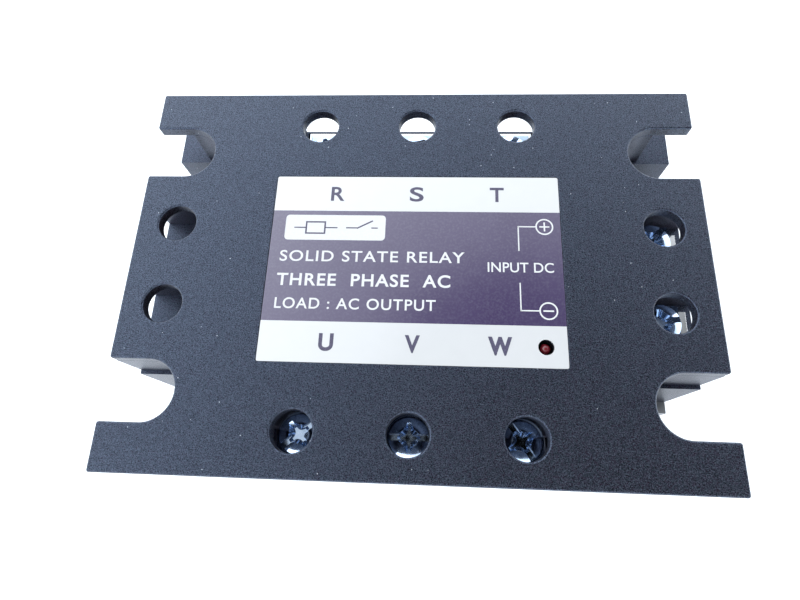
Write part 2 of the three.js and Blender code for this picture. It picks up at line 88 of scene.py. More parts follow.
# Label film and its print, in millimetres from its centre; the badge is (x0, y0, x1, y1)
FILM_EDGE = 0.03
FILM_CORNER_RADIUS = 0.35
FIELD_HALF_HEIGHT = 10.8
PRINT_LIFT = 0.004
LETTER_PITCH = 14.9
LETTER_SHIFT = 0.3
LETTER_HEIGHT = 3.0
LINE_LETTERS_Y = 14.4
LOAD_LETTERS_Y = -14.5
SIGN_X = 23.6
SIGN_LINE_X = 18.9
SYMBOL_Y = 7.3
BADGE = (-24.0, 4.8, -5.3, 9.9)
BADGE_CORNER_RADIUS = 0.7

# The height of the font's capitals for a font size of 1
CAPITAL_SHARE = 0.72

# Degrees between the points of a round outline
ARC_STEP = 6

# Floor, in metres
FLOOR_HALF_SIZE = 3
FLOOR_DROP = 0.0001

# The range that a noise texture mostly stays in
NOISE_LOW = 0.3
NOISE_HIGH = 0.7

# The plastic's patterns, in features per metre
CLOUD_SCALE = 60
HUE_SCALE = 2600
GRAIN_SCALE = 5600
DUST_SCALE = 420
DUST_SIZE = 0.036

# Light: greys by the cosine between a direction and an axis, as (cosine, grey) pairs
SKY_AXIS = (0.33, -0.12, 1)
SKY_STOPS = [(0.5, 1.0), (0.66, 0.60), (0.84, 0.25), (0.95, 0.06), (1.0, 0.01)]
FIGURE_AXIS = (0.16, 0.13, 1)
FIGURE_STOPS = [(0.958, 1.0), (0.976, 0.01)]
SKY_TINT = (0.94, 0.97, 1.0)
SKY_STRENGTH = 3.3

# Camera: millimetres from the middle of the cover's top, and degrees
CAMERA_PLACE = (3.75, -36.73, 89.28)
CAMERA_TURN = (18.73, 3.00, 2.16)
CAMERA_LENS = 24.2
CAMERA_SENSOR = 36


# ---- Materials ------------------------------------------------------------------------------

class Paint:
    """A Principled material with short calls for the nodes that this scene repeats."""

    def __init__(self, name, roughness=0.5, metallic=0.0, color=(0.5, 0.5, 0.5), **sockets):
        self.material = bpy.data.materials.new(name)
        self.material.use_nodes = True
        self.tree = self.material.node_tree
        self.shader = self.tree.nodes["Principled BSDF"]
        self.shader.inputs["Base Color"].default_value = (*color, 1)
        self.shader.inputs["Roughness"].default_value = roughness
        self.shader.inputs["Metallic"].default_value = metallic
        for socket, value in sockets.items():
            self.shader.inputs[socket.replace("_", " ")].default_value = value
        self.place = self.node("ShaderNodeTexCoord").outputs["Object"]

    def node(self, kind, **settings):
        made = self.tree.nodes.new(kind)
        for key, value in settings.items():
            setattr(made, key, value)
        return made

    def link(self, output, target):
        self.tree.links.new(output, target)

    def stretched(self, scale):
        """Object coordinates multiplied by a scale per axis, so a texture can run along one."""
        mapping = self.node("ShaderNodeMapping")
        mapping.inputs["Scale"].default_value = scale
        self.link(self.place, mapping.inputs["Vector"])
        return mapping.outputs["Vector"]

    def noise(self, scale, detail=2.0, stretch=None, roughness=0.5):
        """Noise whose features are about 1 / scale metres across."""
        made = self.node("ShaderNodeTexNoise")
        made.inputs["Scale"].default_value = scale
        made.inputs["Detail"].default_value = detail
        made.inputs["Roughness"].default_value = roughness
        self.link(self.stretched(stretch) if stretch else self.place, made.inputs["Vector"])
        return made.outputs["Fac"]

    def specks(self, scale, size):
        """1 in small dots scattered in the cells of a Voronoi pattern, 0 between them."""
        cells = self.node("ShaderNodeTexVoronoi")
        cells.inputs["Scale"].default_value = scale
        self.link(self.place, cells.inputs["Vector"])
        return self.math("LESS_THAN", cells.outputs["Distance"], size)

    def math(self, operation, first, second=0.0):
        made = self.node("ShaderNodeMath", operation=operation)
        for value, socket in ((first, made.inputs[0]), (second, made.inputs[1])):
            if isinstance(value, (int, float)):
                socket.default_value = value
            else:
                self.link(value, socket)
        return made.outputs["Value"]

    def ramp(self, value, stops):
        """Colours or greys along a value: stops are (position, colour) pairs."""
        made = self.node("ShaderNodeValToRGB")
        band = made.color_ramp
        while len(band.elements) < len(stops):
            band.elements.new(1)
        for element, (position, color) in zip(band.elements, stops):
            element.position = position
            element.color = (*color, 1) if isinstance(color, tuple) else (color, color, color, 1)
        self.link(value, made.inputs["Fac"])
        return made.outputs["Color"]

    def spread(self, noise, low, high):
        """Colours or greys from low to high over the range of a noise."""
        return self.ramp(noise, [(NOISE_LOW, low), (NOISE_HIGH, high)])

    def mix(self, share, first, second):
        made = self.node("ShaderNodeMix", data_type="RGBA")
        sockets = (made.inputs[0], made.inputs[6], made.inputs[7])
        for value, socket in zip((share, first, second), sockets):
            if isinstance(value, tuple):
                socket.default_value = (*value, 1)
            elif isinstance(value, (int, float)):
                socket.default_value = value
            else:
                self.link(value, socket)
        return made.outputs[2]

    def color(self, output):
        self.link(output, self.shader.inputs["Base Color"])

    def rough(self, output):
        self.link(output, self.shader.inputs["Roughness"])

    def shine(self, output):
        self.link(output, self.shader.inputs["Specular IOR Level"])

    def bump(self, height, depth, strength=0.5):
        """Surface relief; depth is the height in metres that a value of 1 stands for."""
        made = self.node("ShaderNodeBump")
        made.inputs["Strength"].default_value = strength
        made.inputs["Distance"].default_value = depth
        self.link(height, made.inputs["Height"])
        self.link(made.outputs["Normal"], self.shader.inputs["Normal"])


def moulded_plastic(name, dark, light, roughness):
    """Dark moulded plastic: a fine spark-eroded grain, faint cloudiness and a little dust."""
    grain_light = (0.029, 0.031, 0.035)
    dust_color = (0.52, 0.55, 0.60)
    warm_gain = (2.4, 0.9, 1.5)
    # Painted reflection colour: the blue specular tint colours the plastic's reflections in place of
    # bluish light around it
    paint = Paint(name, IOR=1.6, Specular_Tint=(0.52, 0.68, 1.0, 1))
    cloud = paint.noise(CLOUD_SCALE, detail=3)
    hue = paint.noise(HUE_SCALE, detail=1)
    grain = paint.noise(GRAIN_SCALE, detail=2, roughness=0.6)
    dust = paint.specks(DUST_SCALE, DUST_SIZE)
    warm = tuple(value * gain for value, gain in zip(light, warm_gain))
    cloudy = paint.mix(paint.spread(cloud, 0.2, 0.8), dark, light)
    tinted = paint.mix(paint.ramp(hue, [(0.4, 0.0), (0.65, 0.9)]), cloudy, warm)
    speckled = paint.mix(paint.ramp(grain, [(0.53, 0.0), (0.62, 1.0)]), tinted, grain_light)
    paint.color(paint.mix(dust, speckled, dust_color))
    paint.rough(paint.spread(grain, roughness - 0.1, roughness + 0.1))
    paint.shine(paint.ramp(grain, [(0.38, 0.3), (0.62, 1.0)]))
    paint.bump(grain, 0.00006, strength=1.0)
    return paint.material


def milled_aluminium():
    """Plate stock with fine lines along its length and small handling marks."""
    paint = Paint("milled_aluminium", metallic=1.0, roughness=0.32)
    lines = paint.noise(900, detail=4, stretch=(0.03, 1, 1))
    marks = paint.noise(140, detail=5)
    paint.color(paint.spread(marks, (0.34, 0.35, 0.37), (0.43, 0.44, 0.46)))
    paint.rough(paint.spread(lines, 0.3, 0.48))
    paint.bump(lines, 0.00003, strength=0.35)
    return paint.material


def plated_metal(name, dark, light, roughness):
    """Bright plating: a slight bloom in the colour and a soft unevenness in the gloss."""
    paint = Paint(name, metallic=1.0)
    bloom = paint.noise(500, detail=4)
    grain = paint.noise(1500, detail=3)
    paint.color(paint.spread(bloom, dark, light))
    paint.rough(paint.spread(grain, roughness - 0.06, roughness + 0.08))
    paint.bump(grain, 0.00002, strength=0.25)
    return paint.material


def drawn_strip():
    """Tinned copper strip with the drawing lines of its rolling along Y."""
    paint = Paint("tinned_strip", metallic=1.0)
    lines = paint.noise(1800, detail=3, stretch=(1, 0.05, 1))
    bloom = paint.noise(300, detail=4)
    paint.color(paint.spread(bloom, (0.88, 0.89, 0.91), (0.94, 0.94, 0.95)))
    paint.rough(paint.spread(lines, 0.07, 0.14))
    paint.bump(lines, 0.00002, strength=0.3)
    return paint.material


def printed_film():
    """The label's film: a dark mauve printed field between two white bands."""
    gloss = {"Specular_IOR_Level": 1.0, "Coat_Weight": 1.0, "Coat_IOR": 1.62, "Coat_Roughness": 0.1}
    paint = Paint("printed_film", **gloss)
    axes = paint.node("ShaderNodeSeparateXYZ")
    paint.link(paint.place, axes.inputs["Vector"])
    from_middle = paint.math("ABSOLUTE", axes.outputs["Y"])
    in_field = paint.math("LESS_THAN", from_middle, FIELD_HALF_HEIGHT * MM)
    grain = paint.noise(2600, detail=2)
    cloud = paint.noise(90, detail=3)
    unevenness = paint.noise(700, detail=2)
    mauve = paint.mix(paint.spread(cloud, 0.0, 1.0), (0.046, 0.031, 0.083), (0.054, 0.038, 0.094))
    field = paint.mix(paint.ramp(grain, [(0.45, 0.0), (0.8, 0.6)]), mauve, (0.085, 0.072, 0.125))
    paper = paint.spread(paint.noise(420, detail=3), (0.550, 0.550, 0.550), (0.560, 0.560, 0.560))
    paint.color(paint.mix(in_field, paper, field))
    paint.rough(paint.spread(grain, 0.18, 0.26))
    paint.bump(unevenness, 0.00002, strength=0.15)
    return paint.material


def printing_ink(name, dark, light):
    """Screen-printed ink, a little uneven in its cover."""
    paint = Paint(name)
    cover = paint.noise(3000, detail=2)
    paint.color(paint.ramp(cover, [(0.35, dark), (0.65, light)]))
    paint.rough(paint.spread(cover, 0.36, 0.46))
    return paint.material


def lamp_lens():
    """Dark red lens, moulded in tinted resin with a glossy skin."""
    paint = Paint("lamp_lens", roughness=0.12, Coat_Weight=0.6, Transmission_Weight=0.25)
    depth = paint.noise(900, detail=2)
    paint.color(paint.spread(depth, (0.16, 0.006, 0.012), (0.32, 0.02, 0.03)))
    return paint.material


def circuit_board():
    """Green solder-resist over copper tracks that run on a square grid."""
    paint = Paint("circuit_board", Coat_Weight=0.3)
    tracks = paint.node("ShaderNodeTexBrick", offset=0.5, squash=1.0)
    tracks.inputs["Scale"].default_value = 260
    tracks.inputs["Mortar Size"].default_value = 0.03
    tracks.inputs["Color1"].default_value = (0.010, 0.085, 0.035, 1)
    tracks.inputs["Color2"].default_value = (0.012, 0.105, 0.042, 1)
    tracks.inputs["Mortar"].default_value = (0.030, 0.210, 0.080, 1)
    paint.link(paint.place, tracks.inputs["Vector"])
    paint.color(tracks.outputs["Color"])
    paint.rough(paint.spread(paint.noise(1200), 0.28, 0.4))
    paint.bump(tracks.outputs["Fac"], 0.00003, strength=0.4)
    return paint.material


def mottled(name, dark, light, roughness, scale=800):
    """A moulded, cast or dipped surface whose tone and gloss vary softly."""
    paint = Paint(name)
    tone = paint.noise(scale, detail=3)
    paint.color(paint.spread(tone, dark, light))
    paint.rough(paint.spread(tone, roughness - 0.05, roughness + 0.08))
    paint.bump(tone, 0.00003, strength=0.3)
    return paint.material


COVER = moulded_plastic("cover_plastic", (0.0035, 0.004, 0.005), (0.005, 0.006, 0.007), 0.32)
TUB = moulded_plastic("tub_plastic", (0.006, 0.007, 0.010), (0.009, 0.011, 0.015), 0.34)
ALUMINIUM = milled_aluminium()
ZINC = plated_metal("zinc_plating", (0.42, 0.54, 0.72), (0.62, 0.72, 0.88), 0.12)
TIN = drawn_strip()
FILM = printed_film()
WHITE_INK = printing_ink("white_ink", (0.56, 0.56, 0.56), (0.59, 0.59, 0.59))
MAUVE_INK = printing_ink("mauve_ink", (0.050, 0.044, 0.080), (0.075, 0.066, 0.110))
LENS = lamp_lens()
BOARD = circuit_board()
CERAMIC = mottled("alumina", (0.70, 0.68, 0.63), (0.80, 0.78, 0.73), 0.5)
EPOXY = mottled("moulded_epoxy", (0.010, 0.010, 0.012), (0.020, 0.020, 0.023), 0.5)
RESIN = mottled("potting_resin", (0.012, 0.013, 0.016), (0.024, 0.026, 0.030), 0.25, scale=200)
COATING = mottled("capacitor_coating", (0.42, 0.24, 0.03), (0.56, 0.34, 0.05), 0.3, scale=500)


# ---- Refining the CAD nodes -----------------------------------------------------------------

WELD_GAP = 1e-6
FLAT_ANGLE = math.radians(0.5)
SHARP_ANGLE = math.radians(35)


def dress(name, material, edge_mm, segments=2):
    """Gives a CAD node its material and rounds its sharp edges; its vertices stay as packed."""
    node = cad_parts[name]
    node.data.materials.clear()
    node.data.materials.append(material)
    imported_normals = node.data.attributes.get("custom_normal")
    if imported_normals:
        node.data.attributes.remove(imported_normals)
    for face in node.data.polygons:
        face.use_smooth = True
    weld = node.modifiers.new("weld", "WELD")
    weld.merge_threshold = WELD_GAP
    flat = node.modifiers.new("flat", "DECIMATE")
    flat.decimate_type = "DISSOLVE"
    flat.angle_limit = FLAT_ANGLE
    edge = node.modifiers.new("edge", "BEVEL")
    edge.width = edge_mm * MM
    edge.segments = segments
    edge.limit_method = "ANGLE"
    edge.angle_limit = SHARP_ANGLE
    edge.harden_normals = True
    edge.use_clamp_overlap = True
    return node


dress("lower_housing", TUB, 0.12)
dress("terminal_frame", TUB, 0.12)
dress("base_plate", ALUMINIUM, 0.2)
dress("control_board", BOARD, 0.05)
dress("potting_compound", RESIN, 0.15)
for number in range(1, 5):
    dress(f"base_screw_{number}", ZINC, 0.08)
for phase in PHASES:
    dress(f"substrate_{phase}", CERAMIC, 0.05)
    dress(f"switch_module_{phase}", EPOXY, 0.3)
    dress(f"gate_lead_{phase}", TIN, 0.1)
    dress(f"optocoupler_{phase}", EPOXY, 0.12)
    dress(f"snubber_capacitor_{phase}", COATING, 0.5, segments=3)
for terminal in POWER:
    dress(f"{terminal}_busbar", TIN, 0.12)
for terminal in CONTROLS:
    dress(f"{terminal}_plate", TIN, 0.1)
for terminal in TERMINALS:
    dress(f"{terminal}_nut", ZINC, 0.15)
    dress(f"{terminal}_clamp", ZINC, 0.14)


# ---- Mesh helpers ---------------------------------------------------------------------------

def object_of(name, mesh, material):
    piece = bpy.data.objects.new(name, mesh)
    bpy.context.scene.collection.objects.link(piece)
    if material is not None:
        mesh.materials.clear()
        mesh.materials.append(material)
    return piece


def baked(piece):
    """The piece's mesh with its modifiers applied."""
    graph = bpy.context.evaluated_depsgraph_get()
    return bpy.data.meshes.new_from_object(piece.evaluated_get(graph))


def grid_mesh(name, rings):
    """A closed turned mesh from rings of equal length; the first and last close to a cap."""
    mesh = bpy.data.meshes.new(name)
    build = bmesh.new()
    made = [[build.verts.new(point) for point in ring] for ring in rings]
    count = len(made[0])
    for lower, upper in zip(made, made[1:]):
        for i in range(count):
            j = (i + 1) % count
            build.faces.new((lower[i], lower[j], upper[j], upper[i]))
    build.faces.new(list(reversed(made[0])))
    build.faces.new(made[-1])
    build.to_mesh(mesh)
    build.free()
    return mesh


def box_object(name, size, centre):
    mesh = bpy.data.meshes.new(name)
    build = bmesh.new()
    placing = Matrix.Translation(centre) @ Matrix.Diagonal((*size, 1))
    bmesh.ops.create_cube(build, size=1, matrix=placing)
    build.to_mesh(mesh)
    build.free()
    return object_of(name, mesh, None)


def subtract(piece, tools):
    """Cuts the tools out of the piece and removes them."""
    for tool in tools:
        cutter = piece.modifiers.new("cut", "BOOLEAN")
        cutter.operation = "DIFFERENCE"
        cutter.solver = "EXACT"
        cutter.object = tool
    bpy.context.view_layer.update()
    mesh = baked(piece)
    piece.modifiers.clear()
    piece.data = mesh
    for tool in tools:
        bpy.data.objects.remove(tool)


# ---- Level solids with rounded edges --------------------------------------------------------

def trace(path, inset=0.0):
    """Points and outward normals round a closed path of arcs, joined by straight lines.
    An arc is (x, y, radius, start, sweep) in degrees; the solid is on the path's left."""
    points = []
    normals = []
    for x, y, radius, start, sweep in path:
        side = math.copysign(1, sweep)
        steps = max(3, round(abs(sweep) / ARC_STEP))
        for step in range(steps if abs(sweep) == 360 else steps + 1):
            angle = math.radians(start + sweep * step / steps)
            out = (math.cos(angle), math.sin(angle))
            reach = radius - side * inset
            points.append((x + reach * out[0], y + reach * out[1]))
            normals.append((side * out[0], side * out[1]))
    return points, normals


def round_hole(x, y, radius):
    return [(x, y, radius, 0, -360)]


def rounded_rectangle(half_x, half_y, radius):
    x = half_x - radius
    y = half_y - radius
    corners = [(x, -y), (x, y), (-x, y), (-x, -y)]
    return [(*corner, radius, 90 * turn, 90) for turn, corner in enumerate(corners, start=-1)]


def as_hole(path):
    return [(x, y, radius, start + sweep, -sweep) for x, y, radius, start, sweep in reversed(path)]


def notched_rectangle(half_x, half_y, corner):
    """The cover's outline: a rectangle with a round-ended notch near each corner."""
    side = [(half_x - corner, corner - half_y, corner, -90, 90)]
    for y in (-NOTCH_Y, NOTCH_Y):
        side += [
            (half_x - corner, y - NOTCH_RADIUS - corner, corner, 0, 90),
            (NOTCH_ARC_X, y, NOTCH_RADIUS, -90, -180),
            (half_x - corner, y + NOTCH_RADIUS + corner, corner, -90, 90),
        ]
    side.append((half_x - corner, half_y - corner, corner, 0, 90))
    return side + [(-x, -y, radius, start + 180, sweep) for x, y, radius, start, sweep in side]


def rounded_edge(height, radius, start, end):
    """Profile points (inset, height, tilt) round an edge, as its normal tilts from start to end."""
    steps = 4
    profile = []
    for step in range(steps + 1):
        tilt = start + (end - start) * step / steps
        inset = radius * (1 - math.cos(math.radians(tilt)))
        rise = radius * (math.sin(math.radians(tilt)) - math.copysign(1, start + end))
        profile.append((inset, height + rise, tilt))
    return profile


class Shell:
    """A closed mesh of level faces and upright walls, with the exact normal at every corner."""

    def __init__(self):
        self.points = {}
        self.faces = []
        self.normals = []

    def ring(self, path, inset, height):
        return [
            self.points.setdefault((round(x, 5), round(y, 5), round(height, 5)), len(self.points))
            for x, y in trace(path, inset)[0]
        ]

    def wall(self, path, profile):
        """Walls down a profile of (inset, height, tilt); gives back the top and bottom rings."""
        outward = trace(path)[1]
        rings = [self.ring(path, inset, height) for inset, height, tilt in profile]
        slopes = [math.radians(tilt) for inset, height, tilt in profile]
        count = len(outward)
        for upper, lower, upper_slope, lower_slope in zip(rings, rings[1:], slopes, slopes[1:]):
            if upper == lower:
                continue
            for i in range(count):
                j = (i + 1) % count
                self.faces.append((upper[i], lower[i], lower[j], upper[j]))
                slope_of = ((i, upper_slope), (i, lower_slope), (j, lower_slope), (j, upper_slope))
                for k, slope in slope_of:
                    x, y = outward[k]
                    self.normals.append((x * math.cos(slope), y * math.cos(slope), math.sin(slope)))
        return rings[0], rings[-1]

    def level(self, rings, up):
        """A level face between the first ring and the others, facing up (1) or down (-1)."""
        places = list(self.points)
        outlines = [[Vector(places[i]) for i in ring] for ring in rings]
        corners = [i for ring in rings for i in ring]
        for triangle in tessellate_polygon(outlines):
            a, b, c = (corners[i] for i in triangle)
            start = Vector(places[a])
            turn = (Vector(places[b]) - start).cross(Vector(places[c]) - start).z
            self.faces.append((a, b, c) if turn * up > 0 else (a, c, b))
            self.normals += [(0, 0, up)] * 3

    def to_object(self, name, material):
        mesh = bpy.data.meshes.new(name)
        mesh.from_pydata([[MM * value for value in point] for point in self.points], [], self.faces)
        mesh.polygons.foreach_set("use_smooth", [True] * len(self.faces))
        mesh.normals_split_custom_set(self.normals)
        return object_of(name, mesh, material)


# ---- Cover and label film -------------------------------------------------------------------

COVER_LOW, COVER_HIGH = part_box("upper_cover")
LABEL_LOW, LABEL_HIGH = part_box("label")
LAMP_LOW, LAMP_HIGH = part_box("indicator_lamp")
LAMP_X = (LAMP_LOW.x + LAMP_HIGH.x) / 2
LAMP_Y = (LAMP_LOW.y + LAMP_HIGH.y) / 2
LAMP_HOLE = round_hole(LAMP_X / MM, LAMP_Y / MM, LAMP_HOLE_RADIUS)
LABEL_HALF = (LABEL_HIGH.x / MM, LABEL_HIGH.y / MM)


def driver_holes():
    """A hole over each screw, and two empty ones that mirror the control terminals'."""
    boxes = [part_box(f"{name}_screw") for name in TERMINALS]
    places = [(low + high) / 2 / MM for low, high in boxes]
    spots = [(place.x, place.y) for place in places]
    spots += [(-x, y) for x, y in spots[len(POWER):]]
    return [round_hole(x, y, DRIVER_HOLE_RADIUS) for x, y in spots]


def cover_profile(top, rim, bottom):
    """A wall from top to bottom whose upper rim is rounded more than its lower one."""
    return rounded_edge(top, rim, 90, 0) + rounded_edge(bottom, LOWER_RIM, 0, -90)


def add_cover():
    """The flat cover, with rounded rims round its holes and notches and a seat for the label."""
    top = COVER_HIGH.z / MM
    bottom = COVER_LOW.z / MM
    floor = top - LABEL_RECESS
    shell = Shell()
    outline = notched_rectangle(COVER_HIGH.x / MM, COVER_HIGH.y / MM, COVER_CORNER_RADIUS)
    through = cover_profile(top, TOP_RIM, bottom)
    walls = [shell.wall(path, through) for path in [outline, *driver_holes()]]
    seat_half = [half + LABEL_MARGIN for half in LABEL_HALF]
    seat = as_hole(rounded_rectangle(*seat_half, SEAT_CORNER_RADIUS))
    seat_top, seat_floor = shell.wall(seat, rounded_edge(top, SEAT_RIM, 90, 0) + [(0, floor, 0)])
    lamp_top, lamp_bottom = shell.wall(LAMP_HOLE, cover_profile(floor, SEAT_RIM, bottom))
    shell.level([*(upper for upper, lower in walls), seat_top], 1)
    shell.level([seat_floor, lamp_top], 1)
    shell.level([*(lower for upper, lower in walls), lamp_bottom], -1)
    cover = shell.to_object("cover_plate", COVER)
    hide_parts("upper_cover")
    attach(cover, HOUSING)


def add_label_film():
    """The label's film, with small rounded corners and the lamp's hole."""
    upper_edge = rounded_edge(LABEL_HIGH.z / MM, FILM_EDGE, 90, 0)
    lower_edge = rounded_edge(LABEL_LOW.z / MM, FILM_EDGE, 0, -90)
    outline = rounded_rectangle(*LABEL_HALF, FILM_CORNER_RADIUS)
    shell = Shell()
    walls = [shell.wall(path, upper_edge + lower_edge) for path in (outline, LAMP_HOLE)]
    shell.level([upper for upper, lower in walls], 1)
    shell.level([lower for upper, lower in walls], -1)
    film = shell.to_object("label_film", FILM)
    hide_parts("label")
    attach(film, HOUSING)


add_cover()
add_label_film()


# ---- Terminal screws ------------------------------------------------------------------------

def dome_height(radius):
    """Height of the head's domed top at a distance from its axis."""
    return HEAD_HEIGHT - HEAD_DOME_RADIUS + math.sqrt(HEAD_DOME_RADIUS ** 2 - radius ** 2)


def screw_rings(shank_length):
    """Rings up a screw from its tip: a helical thread, a short neck and a domed pan head."""
    count = 48
    steps_per_turn = 8
    root_radius = SHANK_RADIUS - THREAD_DEPTH
    neck_radius = SHANK_RADIUS - 0.05
    tip = -shank_length
    tip_chamfer = 0.35
    tip_length = 0.25
    neck = -0.6
    head_chamfer = 0.12
    dome_edge = dome_height(HEAD_RADIUS - 0.05) - 0.1
    dome_radii = (3.45, 3.3, 3.0, 2.6, 2.2, 1.7, 1.2, 0.7, 0.2)
    rings = []

    def ring(radius_at, height):
        points = []
        for i in range(count):
            angle = 2 * math.pi * i / count
            radius = radius_at(angle)
            points.append((radius * math.cos(angle) * MM, radius * math.sin(angle) * MM, height * MM))
        rings.append(points)

    def round_ring(radius, height):
        ring(lambda angle: radius, height)

    def thread_radius(height):
        def at(angle):
            phase = (height / THREAD_PITCH - angle / (2 * math.pi)) % 1
            wave = abs(2 * phase - 1)
            fade = min(1, (height - tip) / THREAD_PITCH, (neck - height) / THREAD_PITCH)
            depth = THREAD_DEPTH * (1 - min(1, 1.25 * wave)) * max(0, fade)
            return root_radius + depth
        return at

    round_ring(root_radius - tip_chamfer, tip)
    steps = int((neck - tip) / THREAD_PITCH * steps_per_turn)
    for step in range(1, steps + 1):
        height = tip + tip_length + (neck - tip - tip_length) * step / steps
        ring(thread_radius(height), height)
    round_ring(neck_radius, neck + 0.1)
    round_ring(neck_radius, -0.02)
    round_ring(HEAD_RADIUS - head_chamfer, 0)
    round_ring(HEAD_RADIUS, head_chamfer)
    round_ring(HEAD_RADIUS, dome_edge)
    for radius in dome_radii:
        round_ring(radius, dome_height(radius))
    return rings


def star_ring(reach, half_width, height):
    """The outline of a cross recess: four blunt points with hollow curves between them."""
    curve_steps = 6
    bend = STAR_WAIST * reach
    points = []
    for quarter in range(4):
        turn = math.pi / 2 * quarter
        corner = [(reach, -half_width)]
        for step in range(curve_steps):
            share = step / curve_steps
            start = (1 - share) ** 2
            middle = 2 * share * (1 - share)
            end = share ** 2
            corner.append((
                start * reach + middle * bend + end * half_width,
                start * half_width + middle * bend + end * reach,
            ))
        points += [
            (x * math.cos(turn) - y * math.sin(turn), x * math.sin(turn) + y * math.cos(turn))
            for x, y in corner
        ]
    return [(x * MM, y * MM, height * MM) for x, y in points]


def terminal_screw_mesh(shank_length):
    """A pan-head screw with a slot and a tapered cross recess; z = 0 is under the head."""
    blank = object_of("screw_blank", grid_mesh("screw_blank", screw_rings(shank_length)), None)
    slot = box_object(
        "slot",
        (3 * HEAD_RADIUS * MM, SLOT_WIDTH * MM, 2 * SLOT_DEPTH * MM),
        (0, 0, HEAD_HEIGHT * MM),
    )
    star_floor = star_ring(0.45 * STAR_REACH, 0.2 * SLOT_WIDTH, HEAD_HEIGHT - STAR_DEPTH)
    star_mouth = star_ring(STAR_REACH, 0.38 * SLOT_WIDTH, HEAD_HEIGHT + 0.1)
    star = object_of("star", grid_mesh("star", [star_floor, star_mouth]), None)
    subtract(blank, [slot, star])
    mesh = blank.data
    bpy.data.objects.remove(blank)
    mesh.polygons.foreach_set("use_smooth", [True] * len(mesh.polygons))
    mesh.set_sharp_from_angle(angle=math.radians(SCREW_SHARP_ANGLE))
    return mesh


def bevel_screw(screw):
    edge = screw.modifiers.new("edge", "BEVEL")
    edge.width = SCREW_EDGE * MM
    edge.segments = 3
    edge.limit_method = "ANGLE"
    edge.angle_limit = math.radians(SCREW_EDGE_ANGLE)
    edge.harden_normals = True


def add_screws():
    """A detailed screw in place of each terminal's plain one; equal lengths share a mesh."""
    cache = {}
    for terminal in TERMINALS:
        low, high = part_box(f"{terminal}_screw")
        shank_length = round((high.z - low.z) / MM - HEAD_HEIGHT, 3)
        if shank_length not in cache:
            cache[shank_length] = terminal_screw_mesh(shank_length)
        screw = object_of(f"{terminal}_terminal_screw", cache[shank_length].copy(), ZINC)
        spin = Matrix.Rotation(math.radians(SLOT_ANGLES[terminal]), 4, "Z")
        spot = Vector(((low.x + high.x) / 2, (low.y + high.y) / 2, high.z - HEAD_HEIGHT * MM))
        screw.data.transform(Matrix.Translation(spot) @ spin)
        bevel_screw(screw)
        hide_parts(f"{terminal}_screw")
        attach(screw, f"{terminal}_screw_body")


add_screws()


# ---- Print and lamp -------------------------------------------------------------------------

PRINT_Z = LABEL_HIGH.z


def outline_mesh(name, splines, thickness):
    """A flat print from closed outlines: the first of each pair of nested ones is filled."""
    curve = bpy.data.curves.new(name, "CURVE")
    curve.dimensions = "2D"
    curve.fill_mode = "BOTH"
    curve.extrude = thickness / 2
    for points in splines:
        spline = curve.splines.new("POLY")
        spline.points.add(len(points) - 1)
        for target, (x, y) in zip(spline.points, points):
            target.co = (x * MM, y * MM, 0, 1)
        spline.use_cyclic_u = True
    drawn = bpy.data.objects.new(name, curve)
    bpy.context.scene.collection.objects.link(drawn)
    mesh = baked(drawn)
    bpy.data.objects.remove(drawn)
    return mesh


def ring_points(x, y, radius, count=48):
    angles = [2 * math.pi * i / count for i in range(count)]
    return [(x + radius * math.cos(angle), y + radius * math.sin(angle)) for angle in angles]


def bar_points(x0, y0, x1, y1):
    return [(x0, y0), (x1, y0), (x1, y1), (x0, y1)]


def rounded_box(x0, y0, x1, y1, radius, steps=8):
    corners = [
        (x1 - radius, y1 - radius, 0),
        (x0 + radius, y1 - radius, 90),
        (x0 + radius, y0 + radius, 180),
        (x1 - radius, y0 + radius, 270),
    ]
    points = []
    for x, y, start in corners:
        for step in range(steps + 1):
            angle = math.radians(start + 90 * step / steps)
            points.append((x + radius * math.cos(angle), y + radius * math.sin(angle)))
    return points


def text_mesh(text, x, y, height, weight, width, spacing=1.0):
    """Letters whose capitals are height millimetres tall, starting at x and centred on y."""
    curve = bpy.data.curves.new("letters", "FONT")
    curve.body = text
    curve.size = height * MM / CAPITAL_SHARE
    curve.space_character = spacing
    curve.offset = weight * MM
    curve.extrude = PRINT_LIFT * MM
    drawn = bpy.data.objects.new("letters", curve)
    bpy.context.scene.collection.objects.link(drawn)
    bpy.context.view_layer.update()
    mesh = baked(drawn)
    bpy.data.objects.remove(drawn)
    xs = [vertex.co.x for vertex in mesh.vertices]
    ys = [vertex.co.y for vertex in mesh.vertices]
    stretch = width * MM / (max(xs) - min(xs))
    middle = (max(ys) + min(ys)) / 2
    for vertex in mesh.vertices:
        vertex.co.x = (vertex.co.x - min(xs)) * stretch + x * MM
        vertex.co.y += y * MM - middle
    return mesh


def print_piece(name, meshes, material):
    """Joins prints into one piece that lies on the label."""
    build = bmesh.new()
    for mesh in meshes:
        build.from_mesh(mesh)
    joined = bpy.data.meshes.new(name)
    build.to_mesh(joined)
    build.free()
    joined.transform(Matrix.Translation((0, 0, PRINT_Z + PRINT_LIFT * MM)))
    piece = object_of(name, joined, material)
    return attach(piece, HOUSING)


def terminal_letters():
    """A letter by each power terminal; W is wider and heavier than the others."""
    letters = []
    for text, column, y, weight, width in [
        ("R", -1, LINE_LETTERS_Y, 0.08, 2.6),
        ("S", 0, LINE_LETTERS_Y, 0.08, 2.6),
        ("T", 1, LINE_LETTERS_Y, 0.08, 2.6),
        ("U", -1, LOAD_LETTERS_Y, 0.14, 2.6),
        ("V", 0, LOAD_LETTERS_Y, 0.14, 2.6),
        ("W", 1, LOAD_LETTERS_Y, 0.20, 4.1),
    ]:
        x = column * LETTER_PITCH + LETTER_SHIFT - width / 2
        letters.append(text_mesh(text, x, y, LETTER_HEIGHT, weight, width))
    return letters


